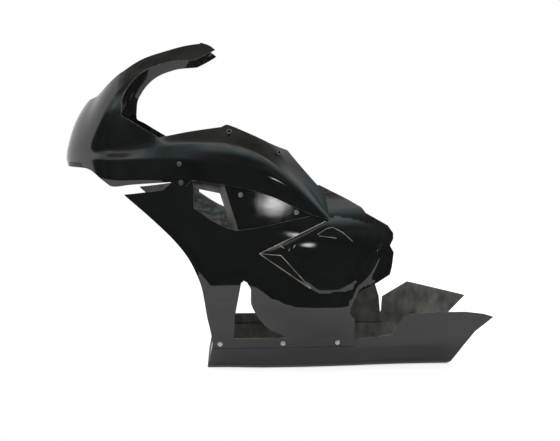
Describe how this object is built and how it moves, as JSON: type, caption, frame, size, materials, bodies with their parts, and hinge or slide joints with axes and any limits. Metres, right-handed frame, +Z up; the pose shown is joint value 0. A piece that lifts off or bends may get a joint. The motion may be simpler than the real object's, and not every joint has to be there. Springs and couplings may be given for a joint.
{
  "type": "motorcycle fairing",
  "caption": "Glossy black race fairing set for a motorcycle: nose cowl with screen horns and side blades, engine side panels, infill plates and a belly pan, joined by slotted studs.",
  "frame": {"origin": "on the ground under the middle of the set, at the flat bottom of the belly pan", "axes": "+X forward to the nose, +Y to the rider's left, +Z up"},
  "size_m": [1.214, 0.4388, 0.9133],
  "materials": {
    "gel_coat": "gloss black gel coat on glass fibre",
    "zinc_plate": "bright zinc plate",
    "spring_steel": "dull spring steel",
    "bush_alloy": "turned aluminium"
  },
  "bodies": {
    "root": {"upper_cowl": "gel_coat", "left_side_panel": "gel_coat", "right_side_panel": "gel_coat", "left_infill_panel": "gel_coat", "right_infill_panel": "gel_coat", "belly_pan": "gel_coat", "left_seam_studs": "zinc_plate", "left_seam_washers": "zinc_plate", "left_tab_studs": "zinc_plate", "left_tab_washers": "zinc_plate", "left_blade_studs": "zinc_plate", "left_blade_washers": "zinc_plate", "left_infill_studs": "zinc_plate", "left_infill_washers": "zinc_plate", "right_seam_studs": "zinc_plate", "right_seam_washers": "zinc_plate", "right_tab_studs": "zinc_plate", "right_tab_washers": "zinc_plate", "right_blade_studs": "zinc_plate", "right_blade_washers": "zinc_plate", "right_infill_studs": "zinc_plate", "right_infill_washers": "zinc_plate", "left_seam_receptacles": "spring_steel", "left_tab_receptacles": "spring_steel", "left_blade_receptacles": "spring_steel", "left_infill_receptacles": "spring_steel", "right_seam_receptacles": "spring_steel", "right_tab_receptacles": "spring_steel", "right_blade_receptacles": "spring_steel", "right_infill_receptacles": "spring_steel", "left_frame_bushes": "bush_alloy", "right_frame_bushes": "bush_alloy"}
  },
  "joints": []
}
